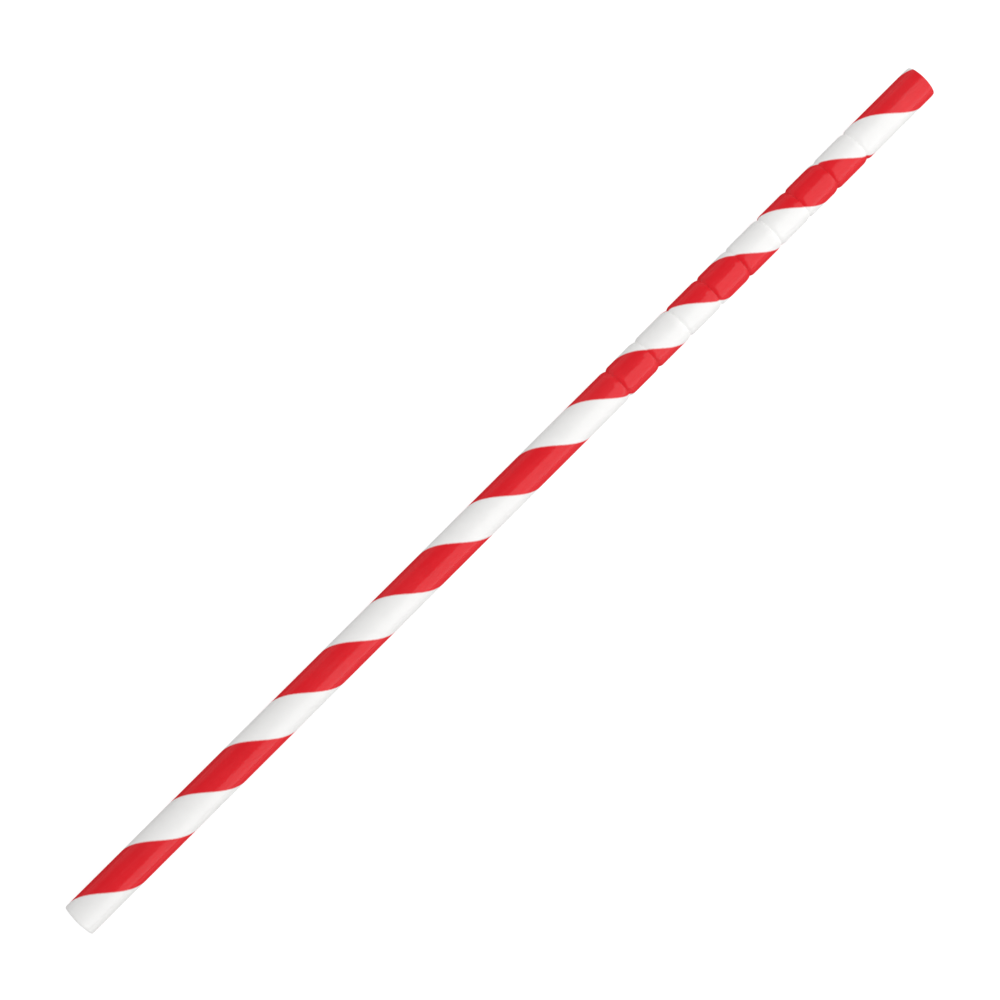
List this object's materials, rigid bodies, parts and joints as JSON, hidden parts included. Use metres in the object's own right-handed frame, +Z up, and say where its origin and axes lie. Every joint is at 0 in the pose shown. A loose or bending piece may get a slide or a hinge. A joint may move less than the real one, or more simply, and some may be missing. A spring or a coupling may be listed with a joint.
{
  "type": "paper drinking straw",
  "caption": "Round paper drinking straw with a printed spiral stripe and a row of pressed crimp rings near its mouth end, open right through.",
  "frame": {"origin": "point on the surface that the straw lies on, under the middle of its length", "axes": "+X along the straw towards its crimped mouth end, +Z up, away from the surface it lies on"},
  "size_m": [0.197, 0.0062, 0.0062],
  "materials": {
    "printed_paper": "satin"
  },
  "bodies": {
    "root": {"straw": "printed_paper"}
  },
  "joints": []
}
